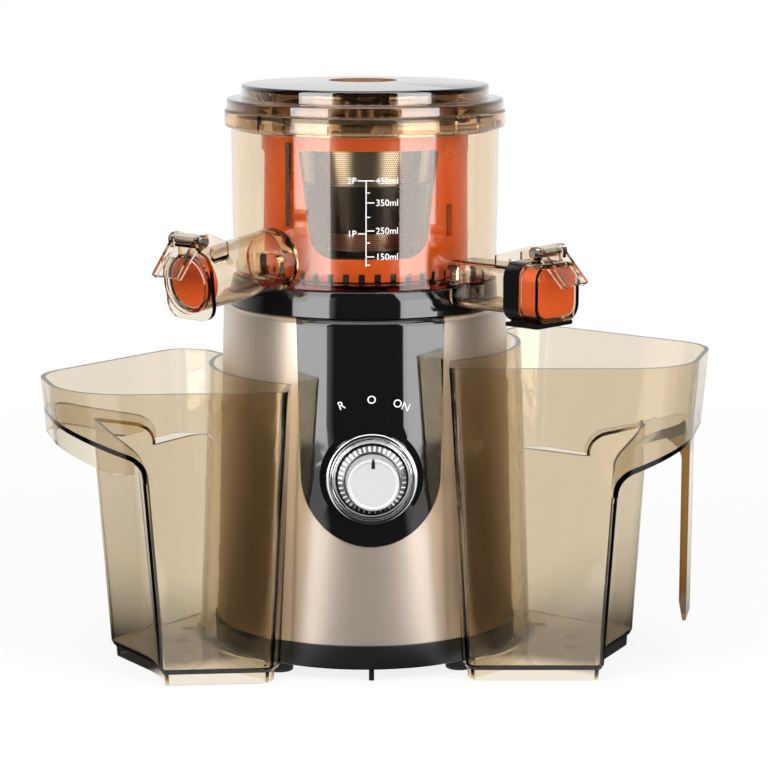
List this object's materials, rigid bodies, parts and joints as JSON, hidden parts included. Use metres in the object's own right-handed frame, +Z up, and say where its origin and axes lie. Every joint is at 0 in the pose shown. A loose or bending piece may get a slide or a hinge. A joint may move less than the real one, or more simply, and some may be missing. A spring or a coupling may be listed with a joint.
{
  "type": "cold press juicer",
  "caption": "Upright cold press juicer with a dark motor base and knob, a clear bowl holding a strainer, brush and auger, flip-cap spouts, a lid, and a juice cup and a pulp cup beside it.",
  "frame": {"origin": "on the body's upright axis, at the worktop under the rubber feet", "axes": "+Z up along the drive shaft; the control knob faces -Y; the juice cup is on the +X side"},
  "size_m": [0.3328, 0.1858, 0.2884],
  "materials": {
    "black_shell": "moulded, satin",
    "foot_rubber": "moulded",
    "zinc_screw": "zinc plated",
    "housing_shell": "champagne lacquer, satin",
    "panel_plastic": "moulded, gloss",
    "bezel_plastic": "satin",
    "switch_body": "moulded",
    "knurl_plastic": "knurled",
    "knob_metal": "chrome rim, spun face",
    "spindle_metal": "turned",
    "gland_rubber": "moulded",
    "deck_plastic": "moulded, satin",
    "deck_screw_steel": "zinc plated",
    "seal_rubber": "moulded",
    "stator_steel": "laminated",
    "winding_copper": "enamelled wire",
    "lower_bracket_alloy": "die cast",
    "upper_bracket_alloy": "die cast",
    "bearing_bronze": "sintered",
    "shaft_steel": "ground",
    "core_steel": "laminated",
    "fan_plastic": "moulded",
    "case_alloy": "die cast",
    "cover_alloy": "die cast",
    "post_steel": "tube",
    "gearbox_screw_steel": "zinc plated",
    "axle_steel": "ground",
    "gear_nylon": "moulded nylon",
    "gear_steel": "sintered",
    "drive_steel": "ground",
    "output_bronze": "sintered",
    "board_green": "lacquered",
    "capacitor_case": "drawn can",
    "bowl_clear": "clear amber plastic",
    "bowl_seal_silicone": "silicone",
    "collar_plastic": "moulded, satin",
    "pin_steel": "ground",
    "pulp_pin_steel": "ground",
    "juice_cap_clear": "clear amber plastic",
    "orange_silicone": "silicone",
    "pulp_cap_clear": "clear amber plastic",
    "pulp_orange_silicone": "silicone",
    "strainer_plastic": "moulded",
    "screen_steel": "perforated",
    "orange_plastic": "moulded",
    "grey_silicone": "silicone",
    "pinion_brass": "sintered",
    "auger_plastic": "moulded",
    "lid_plastic": "dark amber plastic",
    "bush_steel": "turned",
    "gasket_silicone": "silicone",
    "juice_cup_clear": "clear amber plastic",
    "pulp_cup_clear": "clear amber plastic"
  },
  "bodies": {
    "base": {"base_plate": "black_shell", "rubber_feet": "foot_rubber", "base_screws": "zinc_screw", "motor_housing": "housing_shell", "control_panel": "panel_plastic", "knob_bezel": "bezel_plastic", "rotary_switch": "switch_body", "cord_gland": "gland_rubber", "top_deck": "deck_plastic", "deck_screws": "deck_screw_steel", "shaft_seal": "seal_rubber", "motor_stator": "stator_steel", "field_windings": "winding_copper", "lower_motor_bracket": "lower_bracket_alloy", "upper_motor_bracket": "upper_bracket_alloy", "motor_bearings": "bearing_bronze", "gearbox_case": "case_alloy", "gearbox_cover": "cover_alloy", "gearbox_posts": "post_steel", "gearbox_screws": "gearbox_screw_steel", "gear_axle": "axle_steel", "output_bearing": "output_bronze", "circuit_board": "board_green", "run_capacitor": "capacitor_case"},
    "rotor": {"rotor_shaft": "shaft_steel", "rotor_core": "core_steel", "cooling_fan": "fan_plastic"},
    "intermediate": {"intermediate_gear": "gear_nylon"},
    "output": {"output_gear": "gear_steel", "drive_shaft": "drive_steel"},
    "knob": {"knob_cap": "knob_metal", "knob_skirt": "knurl_plastic", "switch_spindle": "spindle_metal"},
    "bowl": {"juice_bowl": "bowl_clear", "bowl_seal": "bowl_seal_silicone", "spout_collar": "collar_plastic", "juice_hinge_pin": "pin_steel", "pulp_hinge_pin": "pulp_pin_steel", "strainer_frame": "strainer_plastic", "strainer_screen": "screen_steel"},
    "brush": {"brush_frame": "orange_plastic", "wiper_blades": "grey_silicone"},
    "idler": {"brush_pinion": "pinion_brass"},
    "auger": {"auger": "auger_plastic"},
    "lid_ring": {"lid_gasket": "gasket_silicone"},
    "lid": {"lid": "lid_plastic", "lid_bush": "bush_steel"},
    "juice_flap": {"juice_cap": "juice_cap_clear", "juice_seal": "orange_silicone"},
    "pulp_flap": {"pulp_cap": "pulp_cap_clear", "pulp_seal": "pulp_orange_silicone"},
    "juice_cup": {"juice_cup": "juice_cup_clear"},
    "pulp_cup": {"pulp_cup": "pulp_cup_clear"}
  },
  "joints": [
    {"name": "rotor_spin", "type": "hinge", "parent": "base", "child": "rotor", "pos_m": [0, -0.006, 0], "axis": [0, 0, 1], "continuous": true},
    {"name": "intermediate_spin", "type": "hinge", "parent": "base", "child": "intermediate", "pos_m": [0, 0.03, 0], "axis": [0, 0, 1], "continuous": true},
    {"name": "output_spin", "type": "hinge", "parent": "base", "child": "output", "pos_m": [0, 0, 0], "axis": [0, 0, 1], "continuous": true},
    {"name": "knob_turn", "type": "hinge", "parent": "base", "child": "knob", "pos_m": [0, -0.07, 0.1016], "axis": [0, -1, 0], "range_deg": [-22.5, 22.5]},
    {"name": "bowl_lift", "type": "slide", "parent": "base", "child": "bowl", "axis": [0, 0, 1], "range_m": [0, 0.08]},
    {"name": "auger_spin", "type": "hinge", "parent": "bowl", "child": "auger", "pos_m": [0, 0, 0], "axis": [0, 0, 1], "continuous": true},
    {"name": "idler_spin", "type": "hinge", "parent": "bowl", "child": "idler", "pos_m": [0, 0.028, 0], "axis": [0, 0, 1], "continuous": true},
    {"name": "brush_spin", "type": "hinge", "parent": "bowl", "child": "brush", "pos_m": [0, 0, 0], "axis": [0, 0, 1], "continuous": true},
    {"name": "lid_lift", "type": "slide", "parent": "bowl", "child": "lid_ring", "axis": [0, 0, 1], "range_m": [0, 0.06]},
    {"name": "lid_turn", "type": "hinge", "parent": "lid_ring", "child": "lid", "pos_m": [0, 0, 0.28], "axis": [0, 0, 1], "range_deg": [0, 20]},
    {"name": "juice_cap_hinge", "type": "hinge", "parent": "bowl", "child": "juice_flap", "pos_m": [0.08344, -0.08344, 0.213], "axis": [-0.7071, -0.7071, 0], "range_deg": [0, 95]},
    {"name": "pulp_cap_hinge", "type": "hinge", "parent": "bowl", "child": "pulp_flap", "pos_m": [-0.08687, -0.08687, 0.21988], "axis": [-0.7071, 0.7071, 0], "range_deg": [0, 95]},
    {"name": "juice_cup_slide", "type": "slide", "parent": "base", "child": "juice_cup", "axis": [1, 0, 0], "range_m": [0, 0.15]},
    {"name": "pulp_cup_slide", "type": "slide", "parent": "base", "child": "pulp_cup", "axis": [-1, 0, 0], "range_m": [0, 0.15]}
  ],
  "couplings": [
    {"joint": "intermediate_spin", "follows": "rotor_spin", "ratio": -0.2},
    {"joint": "output_spin", "follows": "rotor_spin", "ratio": 0.066667},
    {"joint": "auger_spin", "follows": "rotor_spin", "ratio": 0.066667},
    {"joint": "idler_spin", "follows": "rotor_spin", "ratio": -0.05},
    {"joint": "brush_spin", "follows": "rotor_spin", "ratio": -0.018182}
  ]
}
